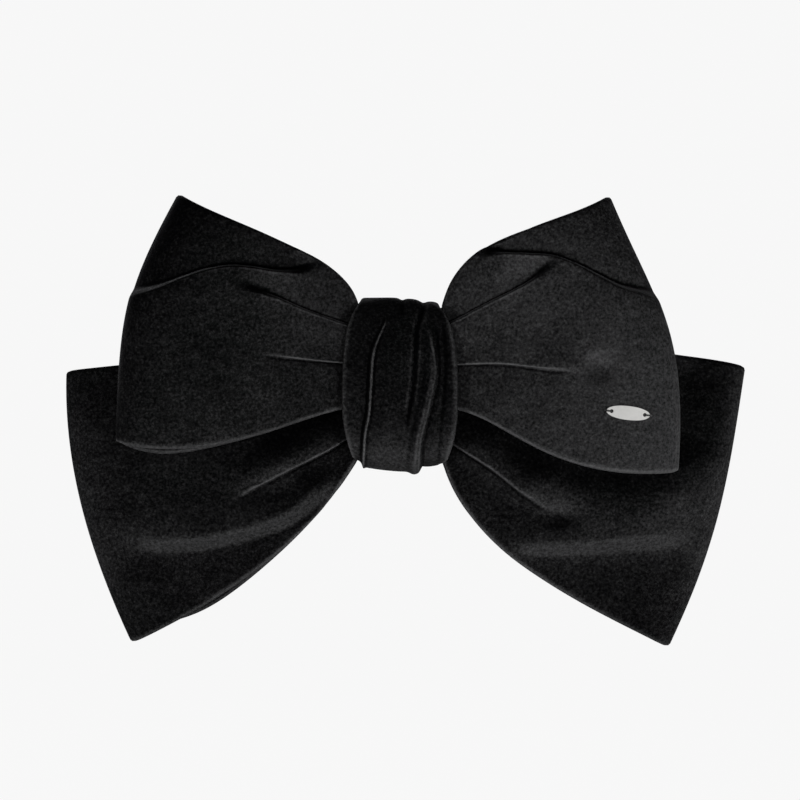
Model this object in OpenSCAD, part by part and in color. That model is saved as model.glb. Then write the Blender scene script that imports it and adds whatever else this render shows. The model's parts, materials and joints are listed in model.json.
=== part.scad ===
// Double velvet hair bow on a French barrette.
// +X runs along the barrette, +Z is up and -Y is the side that is seen when the bow is worn.
// The origin is the middle of the barrette plate's hair-side face.

/* [Velvet ribbons] */
// Thickness of a turned velvet ribbon, two plies and the interlining
ribbon_t = 2.4; // [2.2:0.1:2.6]
// Thickness of the interlining inside each ribbon
interlining_t = 0.4; // [0.3:0.1:0.6]
// How far the upper loops belly forwards
upper_belly = 11; // [8:0.5:12]
// How far the lower loops belly backwards
lower_belly = 6; // [3:0.5:7]

/* [Knot] */
// Height of the knot band, outside
knot_h = 51.2; // [50.8:0.1:52]
// Width of the knot band across its middle
knot_w = 34.4; // [30:0.2:36]
// Thickness of the knot band
knot_t = 2.2; // [2:0.1:2.4]

/* [Barrette] */
// Length of the barrette plate
plate_len = 80; // [79:0.5:81]
// Width of the barrette plate
plate_w = 9; // [9:0.1:9.6]
// Thickness of the barrette plate
plate_t = 1; // [0.8:0.1:1.2]
// Radius of the hinge pin
pin_r = 0.75; // [0.6:0.05:0.8]
// Radial play of the arm and the strip on the hinge pin
pin_play = 0.05; // [0.02:0.01:0.1]

/* [Name plate] */
// Length of the oval metal plate
oval_len = 12.8; // [10:0.2:15]
// Height of the oval metal plate
oval_h = 4; // [3.6:0.2:5]

/* [Hidden] */

$fn = 96;
arc_fn = 256;
eps = 0.01;

velvet = [0.07, 0.07, 0.075];
thread = [0.03, 0.03, 0.03];
felt = [0.09, 0.09, 0.1];
steel = [0.78, 0.78, 0.8];

// ---- Barrette layout: every stamped part is a slice of a large ring, centred on the hair side ----
plate_r = 130;          // radius of the plate's hair-side face
strip_y = 2;            // middle of the tension strip, above the plate
strip_r = 110;
strip_t = 0.4;
arm_y = 8.2;            // middle of the arm
arm_r = 420;
arm_t = 0.8;
arm_w = 5;
pin_x = 37.5;
pin_y = 9.4;
ear_t = 0.9;
ear_r = 2;
catch_x = -36.25;       // middle of the catch bracket
catch_len = 4.5;
catch_t = 0.6;
rivet_r = 0.9;
wall_t = 0.7;
wall_y = 3;             // where the walls of the catch start, under its floor
lip = 0.65;             // how far each lip of the catch reaches inwards
lip_t = 0.6;
tine_w = 1.25;
tine_z = 2.925;         // middle of a tine
tine_x = -26;           // the bend line where a tine flexes
tine_tip = -43;
sew_x = 31;             // sewing holes of the plate
sew_r = 1.1;
pad_t = 1.2;
thread_r = 0.25;

// ---- Small helpers ----
function mix(a, b, t) = a + (b - a) * t;
function smooth(t) = let (c = max(0, min(1, t))) c * c * (3 - 2 * c);
function bezier(p, t) = p[0] * pow(1 - t, 3) + p[1] * 3 * t * pow(1 - t, 2)
    + p[2] * 3 * t * t * (1 - t) + p[3] * pow(t, 3);
function unit(v) = v / norm(v);
function spow(c, e) = sign(c) * pow(abs(c), e);
// Height of a ring's surface over the XZ plane, for a ring of radius r whose lowest point is at y0.
function ring_y(r, y0, x) = y0 + r - sqrt(r * r - x * x);

// ---- A loop of ribbon ----
// Each loop is [bottom hem, top hem, outer fold], every one a cubic curve in the XZ plane, in mm.
upper_left = [
    [[-12.5, -7], [-28, -7.5], [-50, -24], [-81.8, -17]],
    [[-12.5, 21.4], [-15.8, 38.4], [-51.3, 46.5], [-64.2, 55.4]],
    [[-81.8, -17], [-80.5, 18.2], [-80.6, 25.3], [-64.2, 55.4]]];
upper_right = [
    [[12.5, -7], [31, -8], [41, -29], [80, -25.6]],
    [[12.5, 21.4], [20, 45.9], [44.2, 44.5], [60.6, 54.8]],
    [[80, -25.6], [82.8, 17.4], [74.2, 21.5], [60.6, 54.8]]];
lower_left = [
    [[-12.5, -21.4], [-28.1, -48.3], [-52.1, -63.6], [-78.7, -76.3]],
    [[-12.5, 6.5], [-35, 9.6], [-71, 7.4], [-98, 3.9]],
    [[-78.7, -76.3], [-90.4, -51.1], [-99, -25.1], [-98, 3.9]]];
lower_right = [
    [[12.5, -21.4], [19.4, -51.1], [56.5, -66.1], [78.8, -77.6]],
    [[12.5, 6.5], [35, 11], [73, 10.1], [101.5, 5.4]],
    [[78.8, -77.6], [93.7, -46.1], [96.5, -28.3], [101.5, 5.4]]];

// Depth of a bow: [front leaf at the knot, back leaf at the knot, outer fold, front belly, back belly],
// and each entry is [at the bottom hem, at the top hem].
upper_depth = [[-20.4, -17.2], [-17.4, -11], [-22, -20], [upper_belly, upper_belly], [3, 5]];
lower_depth = [[-17.2, -10.4], [-11.7, -6.6], [-5, -4.5], [8, 5.5], [lower_belly, lower_belly + 1]];

// A point of the ribbon's flat outline: a Coons patch between its two hems, the knot and the outer fold.
function flat(loop, u, v) =
    let (b = bezier(loop[0], u), t = bezier(loop[1], u), e = bezier(loop[2], v),
         k = mix(loop[0][0], loop[1][0], v))
    mix(b, t, v) + mix(k, e, u)
    - mix(mix(loop[0][0], loop[1][0], v), mix(loop[0][3], loop[1][3], v), u);

// How far the belly has opened at u, from nothing at the knot to a round fold at the outer end.
function belly(u) = 1.9 * pow(u, 1.3) * sqrt(max(0, 1 - pow(u, 3)));

// A point of the ribbon's middle surface; leaf is 0 for the front leaf and 1 for the back leaf.
function leaf_point(loop, depth, leaf, u, v) =
    let (p = flat(loop, u, v),
         knot_y = mix(depth[leaf][0], depth[leaf][1], v),
         fold_y = mix(depth[2][0], depth[2][1], v),
         swell = mix(depth[3 + leaf][0], depth[3 + leaf][1], v),
         crown = 1 - 0.2 * pow(2 * v - 1, 2),
         side = 2 * leaf - 1)
    [p[0], mix(knot_y, fold_y, smooth(u)) + side * swell * crown * belly(u), p[1]];

// Rows of points once round the bow: out along one leaf of a loop and back along the other,
// then the same for the second loop.
along = 10;
across = 6;
function u_at(k) = sin(90 * k / along);
function row(loop, depth, leaf, u, inset) =
    [for (j = [0 : across]) leaf_point(loop, depth, leaf, u, inset + (1 - 2 * inset) * j / across)];
function bow_rows(left, right, depth, inset) = concat(
    [for (k = [0 : along]) row(right, depth, 0, u_at(k), inset)],
    [for (k = [along - 1 : -1 : 0]) row(right, depth, 1, u_at(k), inset)],
    [for (k = [0 : along]) row(left, depth, 1, u_at(k), inset)],
    [for (k = [along - 1 : -1 : 0]) row(left, depth, 0, u_at(k), inset)]);

// ---- A closed band of fabric: rows of points once round a ring, given a thickness ----
function band_normal(rows, i, j) =
    let (n = len(rows), m = len(rows[0]) - 1,
         along_v = rows[(i + 1) % n][j] - rows[(i + n - 1) % n][j],
         across_v = rows[i][min(j + 1, m)] - rows[i][max(j - 1, 0)])
    unit(cross(along_v, across_v));

module band(rows, thickness) {
    n = len(rows);
    w = len(rows[0]);
    sides = [for (s = [1, -1]) for (i = [0 : n - 1]) for (j = [0 : w - 1])
        rows[i][j] + band_normal(rows, i, j) * s * thickness / 2];
    function at(s, i, j) = s * n * w + (i % n) * w + j;
    faces = concat(
        [for (i = [0 : n - 1]) for (j = [0 : w - 2]) [at(0, i, j), at(0, i, j + 1), at(0, i + 1, j + 1)]],
        [for (i = [0 : n - 1]) for (j = [0 : w - 2]) [at(0, i, j), at(0, i + 1, j + 1), at(0, i + 1, j)]],
        [for (i = [0 : n - 1]) for (j = [0 : w - 2]) [at(1, i, j), at(1, i + 1, j + 1), at(1, i, j + 1)]],
        [for (i = [0 : n - 1]) for (j = [0 : w - 2]) [at(1, i, j), at(1, i + 1, j), at(1, i + 1, j + 1)]],
        [for (i = [0 : n - 1]) for (s = [0, 1]) let (j = s * (w - 1), k = 1 - s)
            [at(s, i, j), at(s, i + 1, j), at(k, i + 1, j)]],
        [for (i = [0 : n - 1]) for (s = [0, 1]) let (j = s * (w - 1), k = 1 - s)
            [at(s, i, j), at(k, i + 1, j), at(k, i, j)]]);
    polyhedron(sides, faces);
}

// ---- A thread: a tube along points, open or closed ----
function tube_ring(path, i, r, sides, closed) =
    let (n = len(path),
         before = path[closed ? (i + n - 1) % n : max(i - 1, 0)],
         after = path[closed ? (i + 1) % n : min(i + 1, n - 1)],
         t = unit(after - before),
         a = unit(cross(t, abs(t[0]) < 0.8 ? [1, 0, 0] : [0, 0, 1])),
         b = cross(t, a))
    [for (k = [0 : sides - 1]) path[i] + r * (a * cos(360 * k / sides) + b * sin(360 * k / sides))];

module tube(path, r, sides = 8, closed = false) {
    n = len(path);
    points = [for (i = [0 : n - 1]) for (p = tube_ring(path, i, r, sides, closed)) p];
    last = closed ? n - 1 : n - 2;
    function at(i, k) = (i % n) * sides + k % sides;
    faces = concat(
        [for (i = [0 : last]) for (k = [0 : sides - 1]) [at(i, k), at(i + 1, k), at(i + 1, k + 1)]],
        [for (i = [0 : last]) for (k = [0 : sides - 1]) [at(i, k), at(i + 1, k + 1), at(i, k + 1)]],
        closed ? [] : [[for (k = [0 : sides - 1]) k],
            [for (k = [sides - 1 : -1 : 0]) (n - 1) * sides + k]]);
    polyhedron(points, faces);
}

// ---- The two bows ----
inset = 0.03;

module bow(left, right, depth) {
    difference() {
        band(bow_rows(left, right, depth, 0), ribbon_t);
        band(bow_rows(left, right, depth, inset), interlining_t);
    }
}

module upper_bow() {
    color(velvet) bow(upper_left, upper_right, upper_depth);
}

module upper_bow_interlining() {
    color("whitesmoke") band(bow_rows(upper_left, upper_right, upper_depth, inset), interlining_t);
}

module lower_bow() {
    color(velvet) bow(lower_left, lower_right, lower_depth);
}

module lower_bow_interlining() {
    color("whitesmoke") band(bow_rows(lower_left, lower_right, lower_depth, inset), interlining_t);
}

// ---- The knot: a band wrapped round both pinched ribbons ----
knot_y = -14.4;         // middle of the knot, front to back
knot_depth = 24.4;      // outside, front to back
squareness = 2.7;
knot_steps = 48;

// A point of the knot's oval section, grown outwards by g from the band's middle surface.
function oval_section(a, g) =
    let (half_y = (knot_depth - knot_t) / 2 + g, half_z = (knot_h - knot_t) / 2 + g)
    [knot_y + half_y * spow(-cos(a), 2 / squareness), half_z * spow(sin(a), 2 / squareness)];

// Half width of the band at a height z: widest in the middle, and narrower at the back.
function knot_half(p) =
    let (front = smooth((knot_y - p[0]) / 8 + 0.5))
    mix(11.5, knot_w / 2, front) - 5.8 * pow(abs(p[1]) / (knot_h / 2), 3.5) * front;

function knot_rows() = [for (i = [0 : knot_steps - 1])
    let (p = oval_section(360 * i / knot_steps, 0), w = knot_half(p))
    [for (j = [-4 : 4]) [w * j / 4, p[0], p[1]]]];

module knot_band() {
    color(velvet) band(knot_rows(), knot_t);
}

// Waxed thread wound round the pinch, hidden inside the knot.
winding_r = 0.35;
module binding_thread() {
    turns = 5;
    pitch = 0.8;
    steps = 28;
    gap = knot_t / 2 + winding_r + 0.08;
    path = [for (i = [0 : turns * steps])
        let (a = 360 * i / steps, p = oval_section(a, -gap))
        [pitch * (i / steps - turns / 2), p[0], p[1]]];
    color(thread) tube(path, winding_r, 6);
}

// Slip stitches that close the knot band at the back, above and below the backing pad.
module knot_seam_stitches() {
    back = knot_y + knot_depth / 2;
    color(thread)
        for (z = [-18, -15, -12, 12, 15, 18])
            tube([[-1.4, back - 0.6, z - 0.7], [-1.1, back + 0.15, z - 0.5],
                  [1.1, back + 0.15, z + 0.5], [1.4, back - 0.6, z + 0.7]], thread_r, 8);
}

// ---- The oval metal plate on the upper right loop ----
oval_u = 0.85;
oval_v = 0.168;
oval_t = 0.6;
oval_tilt = -6.5;
oval_hole_r = 0.55;
oval_hole_x = 4.9;

function oval_spot(du, dv) = leaf_point(upper_right, upper_depth, 0, oval_u + du, oval_v + dv);
oval_step = 0.02;
oval_normal = unit(cross(oval_spot(oval_step, 0) - oval_spot(-oval_step, 0),
    oval_spot(0, oval_step) - oval_spot(0, -oval_step)));
oval_yaw = atan2(oval_normal[0], -oval_normal[1]);
oval_pitch = asin(oval_normal[2]);

// Places a child drawn face up in XY on the loop: its +Z becomes the ribbon's outward normal.
module on_loop() {
    translate(oval_spot(0, 0) + oval_normal * (ribbon_t / 2 + 0.1))
        rotate([0, 0, oval_yaw])
            rotate([90 - oval_pitch, 0, 0])
                rotate([0, 0, oval_tilt])
                    children();
}

module oval_plate() {
    sides = 64;
    color(steel) on_loop() difference() {
        linear_extrude(oval_t)
            polygon([for (k = [0 : sides - 1])
                [oval_len / 2 * spow(cos(360 * k / sides), 0.9), oval_h / 2 * sin(360 * k / sides)]]);
        for (x = [-oval_hole_x, oval_hole_x])
            translate([x, 0, -1]) cylinder(r = oval_hole_r, h = oval_t + 2);
    }
}

module oval_plate_threads() {
    end = oval_len / 2 + 0.35;
    color(thread) on_loop() for (s = [-1, 1])
        tube([[s * oval_hole_x, 0, -1], [s * oval_hole_x, 0, oval_t],
              [s * (oval_hole_x + 0.25), 0, oval_t + 0.3], [s * (end - 0.3), 0, oval_t + 0.3],
              [s * end, 0, oval_t], [s * end, 0, -1]], thread_r, 8);
}

// ---- Barrette ----
// A slice of a ring round the Z axis: between y0 - t/2 and y0 + t/2 at x = 0, curving towards the hair.
module ring_slab(r, y0, t, height) {
    translate([0, y0 + r, 0]) difference() {
        cylinder(r = r + t / 2, h = height, center = true, $fn = arc_fn);
        cylinder(r = r - t / 2, h = height + 1, center = true, $fn = arc_fn);
    }
}

// An outline drawn in XZ, standing through the ring near the bow.
module stamp(y_max = 30) {
    translate([0, y_max, 0]) rotate([90, 0, 0]) linear_extrude(y_max + 10) children();
}

// Places a child drawn round x = 0 at the catch, square to the plate there.
module at_catch() {
    translate([0, plate_r, 0])
        rotate([0, 0, asin(catch_x / plate_r)])
            translate([0, -plate_r, 0])
                children();
}

// A hole or a shank through the plate at the catch, along +Y from y0 to y1.
module catch_shank(r, y0, y1) {
    at_catch() translate([0, y0, 0]) rotate([-90, 0, 0]) cylinder(r = r, h = y1 - y0);
}

module rounded(x0, x1, z0, z1, r) {
    for (x = [x0 + r, x1 - r]) for (z = [z0 + r, z1 - r]) translate([x, z]) circle(r);
    translate([x0 + r, z0]) square([x1 - x0 - 2 * r, z1 - z0]);
    translate([x0, z0 + r]) square([x1 - x0, z1 - z0 - 2 * r]);
}

module backing_pad() {
    color(felt) intersection() {
        ring_slab(plate_r + plate_t + pad_t / 2, -plate_t - pad_t / 2, pad_t, 20);
        stamp() rounded(-plate_len / 2 - 3, plate_len / 2 + 3, -8, 8, 7.9);
    }
}

module barrette_plate() {
    color(steel) difference() {
        union() {
            intersection() {
                ring_slab(plate_r + plate_t / 2, -plate_t / 2, plate_t, 20);
                stamp() rounded(-plate_len / 2, plate_len / 2, -plate_w / 2, plate_w / 2, 2);
            }
            for (s = [-1, 1]) translate([0, 0, s * (plate_w - ear_t) / 2]) {
                intersection() {
                    translate([pin_x - ear_r, 0, -ear_t / 2]) cube([2 * ear_r, pin_y, ear_t]);
                    translate([0, plate_r, 0])
                        cylinder(r = plate_r + plate_t / 2, h = 2, center = true, $fn = arc_fn);
                }
                translate([pin_x, pin_y, 0]) cylinder(r = ear_r, h = ear_t, center = true);
            }
        }
        translate([pin_x, pin_y, 0]) cylinder(r = pin_r, h = 20, center = true);
        for (x = [-sew_x, sew_x]) translate([x, 20, 0]) rotate([90, 0, 0]) cylinder(r = sew_r, h = 40);
        catch_shank(rivet_r, -5, 5);
    }
}

module barrette_threads() {
    top = ring_y(plate_r, 0, sew_x) + thread_r + 0.06;
    deep = ring_y(plate_r, 0, sew_x) - plate_t - 0.6;
    edge = plate_w / 2 + thread_r + 0.1;
    color(thread)
        for (x = [-sew_x, sew_x]) for (s = [-1, 1]) for (k = [-1, 0, 1]) {
            lift = (abs(x + 0.55 * k) - sew_x) * sew_x / plate_r;
            tube([[x + 0.5 * k, deep, s * 0.4], [x + 0.5 * k, top - 0.1, s * 0.45],
                  [x + 0.55 * k, top + lift, s * 0.8], [x + 0.6 * k, top + lift, s * (edge - 0.3)],
                  [x + 0.6 * k, top - 0.25, s * edge], [x + 0.6 * k, deep, s * edge]], thread_r, 8);
        }
}

module hinge_pin() {
    half = plate_w / 2;
    color(steel) translate([pin_x, pin_y, 0]) {
        cylinder(r = pin_r, h = plate_w, center = true);
        for (s = [-1, 1]) translate([0, 0, s * (half + 0.2)]) cylinder(r = 1.15, h = 0.4, center = true);
    }
}

module catch_bracket() {
    x0 = catch_x - catch_len / 2;
    floor_y = ring_y(plate_r, 0, -x0) - catch_t;
    arm_top = ring_y(arm_r, arm_y, x0) + arm_t / 2;
    lip_y = arm_top + 0.15;
    color(steel) difference() {
        union() {
            intersection() {
                ring_slab(plate_r - catch_t / 2, catch_t / 2, catch_t, 20);
                stamp() translate([x0, -plate_w / 2]) square([catch_len, plate_w]);
            }
            intersection() {
                for (s = [-1, 1]) {
                    translate([x0, wall_y, s * (plate_w - wall_t) / 2 - wall_t / 2])
                        cube([catch_len, lip_y + lip_t - wall_y, wall_t]);
                    translate([x0, lip_y, s * (plate_w - wall_t - lip) / 2 - (wall_t + lip) / 2])
                        cube([catch_len, lip_t, wall_t + lip]);
                }
                translate([0, plate_r, 0])
                    cylinder(r = plate_r - catch_t / 2, h = 20, center = true, $fn = arc_fn);
            }
        }
        catch_shank(rivet_r, -5, 5);
    }
}

module catch_rivet() {
    color(steel) {
        catch_shank(rivet_r, 0.05 - plate_t, catch_t + 0.2);
        catch_shank(1.6, catch_t + 0.03, catch_t + 0.5);
    }
}

module clasp_arm() {
    web_end = pin_x - 2.6;
    flange_t = 0.8;
    flange_z = arm_w / 2 + flange_t / 2 - eps;
    bar_x = tine_x + 0.1;
    color(steel) difference() {
        union() {
            intersection() {
                ring_slab(arm_r, arm_y, arm_t, 20);
                stamp() {
                    translate([tine_x + 1.5, -arm_w / 2]) square([web_end - tine_x - 1.5, arm_w]);
                    translate([bar_x - 0.3, -tine_z - tine_w / 2]) square([4, 2 * tine_z + tine_w]);
                }
            }
            for (s = [-1, 1]) translate([0, 0, s * flange_z]) {
                translate([web_end - 6, pin_y - 0.6, -flange_t / 2]) cube([8.6, 1.2, flange_t]);
                translate([pin_x, pin_y, 0]) cylinder(r = 1.6, h = flange_t, center = true);
            }
        }
        translate([pin_x, pin_y, 0]) cylinder(r = pin_r + pin_play, h = 20, center = true);
        // A long slot lightens the arm.
        stamp() rounded(-18, 24, -1.1, 1.1, 1);
        // Round seats for the two tines.
        for (s = [-1, 1]) translate([tine_x, 20, s * tine_z]) rotate([90, 0, 0])
            cylinder(r = tine_w / 2 + 0.06, h = 30);
    }
}

// One spring tine of the arm's forked end, with its finger pad beyond the end of the plate.
module tine(s) {
    color(steel) intersection() {
        ring_slab(arm_r, arm_y, arm_t, 20);
        stamp() {
            translate([tine_x, s * tine_z]) circle(tine_w / 2);
            translate([tine_tip, s * tine_z - tine_w / 2]) square([tine_x - tine_tip, tine_w]);
            translate([tine_tip - 0.5, s * (tine_z + 0.9)]) circle(2.4);
        }
    }
}

module tine_upper() tine(1);
module tine_lower() tine(-1);

module tension_strip() {
    curl_r = pin_r + pin_play + strip_t;
    color(steel) difference() {
        union() {
            intersection() {
                ring_slab(strip_r, strip_y, strip_t, 20);
                stamp() {
                    translate([-27, 0]) circle(2);
                    translate([-27, -2]) square([pin_x + 27, 4]);
                }
            }
            translate([pin_x, pin_y, 0]) cylinder(r = curl_r, h = 4, center = true);
        }
        translate([pin_x, pin_y, 0]) cylinder(r = pin_r + pin_play, h = 20, center = true);
    }
}

upper_bow();
upper_bow_interlining();
lower_bow();
lower_bow_interlining();
knot_band();
binding_thread();
knot_seam_stitches();
oval_plate();
oval_plate_threads();
backing_pad();
barrette_plate();
barrette_threads();
hinge_pin();
catch_bracket();
catch_rivet();
clasp_arm();
tine_upper();
tine_lower();
tension_strip();
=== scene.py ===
"""A double velvet hair bow with a folded knot, a small oval plate and a French barrette on its back."""

import json
import math

import bmesh
import bpy
import numpy as np
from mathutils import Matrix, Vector

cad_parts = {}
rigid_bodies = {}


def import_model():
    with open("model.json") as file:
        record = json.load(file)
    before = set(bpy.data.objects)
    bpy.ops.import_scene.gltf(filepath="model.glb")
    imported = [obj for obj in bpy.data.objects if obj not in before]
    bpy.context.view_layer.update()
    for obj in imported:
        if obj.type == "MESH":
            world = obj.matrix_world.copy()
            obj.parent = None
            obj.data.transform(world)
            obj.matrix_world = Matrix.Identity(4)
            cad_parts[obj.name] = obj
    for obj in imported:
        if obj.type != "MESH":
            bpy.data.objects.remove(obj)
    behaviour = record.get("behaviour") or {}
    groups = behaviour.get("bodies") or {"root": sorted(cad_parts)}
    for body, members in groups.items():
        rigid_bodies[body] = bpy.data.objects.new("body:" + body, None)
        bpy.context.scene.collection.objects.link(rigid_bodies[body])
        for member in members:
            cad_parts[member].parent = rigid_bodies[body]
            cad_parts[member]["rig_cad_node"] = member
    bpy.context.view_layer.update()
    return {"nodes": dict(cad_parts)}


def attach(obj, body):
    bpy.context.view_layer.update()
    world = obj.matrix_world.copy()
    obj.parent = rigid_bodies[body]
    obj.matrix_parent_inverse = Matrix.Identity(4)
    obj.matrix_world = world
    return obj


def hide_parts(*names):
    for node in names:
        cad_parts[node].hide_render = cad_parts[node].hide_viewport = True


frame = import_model()

MM = 0.001  # shapes are worked out in millimetres and stored in metres

# ---------------------------------------------------------------- sizes

RIBBON_T = 2.4  # a turned velvet ribbon, two plies and the interlining
INTERLINING_T = 0.4
CORE_INSET = 0.03  # the interlining is narrower than the ribbon by this share at each hem
ALONG = 102  # rows along one leaf of a loop
INSIDE = 9  # rows of a leaf inside the knot

# Each loop is its bottom hem, its top hem and its outer fold, cubic curves in the XZ plane.
# The hems start at the knot and end at the outer fold.
UPPER_LEFT = (
    [(-12.5, -7), (-28, -7.5), (-50, -24), (-81.8, -17)],
    [(-12.5, 22.6), (-13.6, 38.4), (-51.3, 46.5), (-64.2, 55.4)],
    [(-81.8, -17), (-80.5, 18.2), (-80.6, 25.3), (-64.2, 55.4)],
)
UPPER_RIGHT = (
    [(12.5, -7), (31, -8), (41, -29), (80, -25.6)],
    [(12.5, 22.6), (16.8, 45.6), (44.2, 44.5), (60.6, 54.8)],
    [(80, -25.6), (82.8, 17.4), (74.2, 21.5), (60.6, 54.8)],
)
LOWER_LEFT = (
    [(-12.5, -22.2), (-28.1, -48.3), (-52.1, -63.6), (-78.7, -76.3)],
    [(-12.5, 6.5), (-35, 9.6), (-71, 7.4), (-98, 3.9)],
    [(-78.7, -76.3), (-90.4, -51.1), (-99, -25.1), (-98, 3.9)],
)
LOWER_RIGHT = (
    [(12.5, -22.2), (19.8, -50.6), (56.5, -66.1), (78.8, -77.6)],
    [(12.5, 6.5), (35, 11), (73, 12.4), (101.5, 5.4)],
    [(78.8, -77.6), (93.7, -46.1), (96.5, -28.3), (101.5, 5.4)],
)
# Depths: front leaf at the knot, back leaf at the knot, outer fold, front belly and back belly,
# each at the bottom and at the top hem.
UPPER_DEPTH = [(-20.4, -17.2), (-17.4, -11.0), (-22, -20), (11, 11), (3, 5)]
LOWER_DEPTH = [(-17.2, -10.4), (-11.7, -6.6), (-5, -4.5), (8, 5.5), (6, 7)]
PLATE_SPOT = (65.8, -8.4)  # where the oval plate is sewn on, in the XZ plane


# ---------------------------------------------------------------- small maths


def smooth(t):
    """Eases from 0 at 0 to 1 at 1, and stays there."""
    t = np.clip(t, 0, 1)
    return t * t * (3 - 2 * t)


def mix(pair, t):
    """From the first of a pair to the second."""
    return pair[0] + (pair[1] - pair[0]) * t


def bezier(points, t):
    a, b, c, d = (np.asarray(p, float) for p in points)
    t = np.asarray(t, float)[..., None]
    return a * (1 - t) ** 3 + 3 * b * t * (1 - t) ** 2 + 3 * c * t**2 * (1 - t) + d * t**3


def lengths_along(line):
    """How far along the line each of its points is."""
    return np.concatenate([[0], np.cumsum(np.linalg.norm(np.diff(line, axis=0), axis=1))])


def curve_through(points, n=200):
    """A smooth curve through the points, evenly sampled."""
    p = np.asarray(points, float)
    p = np.vstack([2 * p[0] - p[1], p, 2 * p[-1] - p[-2]])
    out = []
    t = np.linspace(0, 1, 40, endpoint=False)[:, None]
    for a, b, c, d in zip(p, p[1:], p[2:], p[3:]):
        square, cube = 2 * a - 5 * b + 4 * c - d, 3 * b - a - 3 * c + d
        out.append(0.5 * (2 * b + (c - a) * t + square * t**2 + cube * t**3))
    line = np.vstack(out + [p[-2:-1]])
    far = lengths_along(line)
    at = np.linspace(0, far[-1], n)
    return np.stack([np.interp(at, far, line[:, k]) for k in range(line.shape[1])], axis=1)


def beside(line, x, z):
    """Where points of the XZ plane are by a line: the share of it, the distance above it and the way up."""
    c = curve_through(line)
    t = np.gradient(c, axis=0)
    t /= np.linalg.norm(t, axis=1)[:, None]
    t *= np.sign(t[:, :1].sum())  # the line is read from left to right, so above is +Z
    p = np.stack([x.ravel(), z.ravel()], axis=1)
    nearest = ((p[:, None] - c[None]) ** 2).sum(2).argmin(1)
    q, tq = c[nearest], t[nearest]
    up = np.stack([-tq[:, 1], tq[:, 0]], axis=1)
    d = ((p - q) * up).sum(1)
    s = nearest / (len(c) - 1)
    return s.reshape(x.shape), d.reshape(x.shape), up.reshape(x.shape + (2,))


def fade(s, start, end):
    """1 in the middle of a line, going smoothly to 0 over the first and last share of it."""
    f = np.ones_like(s)
    if start:
        f = f * smooth(s / start)
    if end:
        f = f * smooth((1 - s) / end)
    return f


# ---------------------------------------------------------------- folds of a leaf


GATHER = 0.72  # how much of the distance to a fold the cloth beside it is drawn in
GATHER_WIDTH = 2.6  # how far from a fold that reaches, in walls
GATHER_LEAST = 2.2  # the least it reaches
SOFT_WALL = 3.0  # a step this wide is a soft band and draws in no cloth
LEAN_REACH = 40.0  # how far above a line its lean goes on


def gather(leaf, d, up, amount, width, weight):
    """Draws the cloth within width of a line towards it, so that the fold there has cloth to be made of."""
    shift = -d * amount * np.exp(-((d / width) ** 2)) * weight
    leaf[..., 0] += up[..., 0] * shift
    leaf[..., 2] += up[..., 1] * shift


def tuck(
    leaf, line, low, high, reach_low=9.0, reach_high=9.0,
    start=0.0, end=0.5, wall=1.2, weight=1.0, drawn=1.0, lean=0.0,
):
    """A fold along a line, where one side laps the other.

    The cloth stands forward by low just beneath the line and by high just above it, or back where that
    is negative, and both fade over their reach. The step between them is two walls wide. Start and end
    are the shares of the line that it fades in and out over. Drawn is how much of the gather beside it
    there is, and lean is how steeply the cloth above the line goes back."""
    s, d, up = beside(line, leaf[..., 0], leaf[..., 2])
    w = fade(s, start, end) * weight
    over = smooth((d + wall) / (2 * wall))
    lower = low * np.exp(-np.clip(-d, 0, None) / reach_low)
    upper = high * np.exp(-np.clip(d, 0, None) / reach_high)
    leaf[..., 1] -= w * (lower * (1 - over) + (upper - lean * np.clip(d, 0, LEAN_REACH)) * over)
    if wall < SOFT_WALL:
        gather(leaf, d, up, GATHER, max(GATHER_WIDTH * wall, GATHER_LEAST), w * drawn)


def swell(leaf, line, high, above=5.0, below=5.0, start=0.3, end=0.3, weight=1.0):
    """A broad soft fold that stands forward by high, or back where that is negative."""
    s, d, _ = beside(line, leaf[..., 0], leaf[..., 2])
    w = fade(s, start, end) * weight
    leaf[..., 1] -= w * high * np.exp(-((d / np.where(d > 0, above, below)) ** 2))


def pit(leaf, x, z, deep, wide, tall):
    """A soft hollow."""
    leaf[..., 1] += deep * np.exp(-(((leaf[..., 0] - x) / wide) ** 2) - ((leaf[..., 2] - z) / tall) ** 2)


# ---------------------------------------------------------------- the two bows


def across_rows(n=92):
    """Places across the ribbon, closer together at the hems where it turns over."""
    hem = np.array([0.0, 0.004, 0.011, 0.02])
    return np.concatenate([hem, np.linspace(0.034, 0.966, n), 1 - hem[::-1]])


def flat_outline(loop, u, v):
    """A Coons patch between the two hems, the knot and the outer fold, in the XZ plane."""
    low, high, fold = bezier(loop[0], u), bezier(loop[1], u), bezier(loop[2], v)
    at_knot = mix((np.array(loop[0][0], float), np.array(loop[1][0], float)), v[..., None])
    at_fold = mix((np.array(loop[0][3], float), np.array(loop[1][3], float)), v[..., None])
    uu, vv = u[..., None], v[..., None]
    return low + (high - low) * vv + at_knot + (fold - at_knot) * uu - (at_knot + (at_fold - at_knot) * uu)


def leaf_of(loop, depth, back):
    """One leaf of a loop, from the knot to the outer fold, as rows of points."""
    k, v = np.arange(ALONG + 1), across_rows()
    u, v = np.meshgrid(np.sin(np.pi / 2 * k / ALONG), v, indexing="ij")
    xz = flat_outline(loop, u, v)
    knot_y, fold_y = mix(depth[back], v), mix(depth[2], v)
    belly = 1.9 * u**1.3 * np.sqrt(np.clip(1 - u**3, 0, None))  # 1 at its fullest, three quarters out
    less_at_hems = 1 - 0.2 * (2 * v - 1) ** 2
    swelling = mix(depth[3 + back], v) * less_at_hems * belly
    y = knot_y + (fold_y - knot_y) * smooth(u) + (2 * back - 1) * swelling
    return np.stack([xz[..., 0], y, xz[..., 1]], axis=-1), u, v


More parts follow.
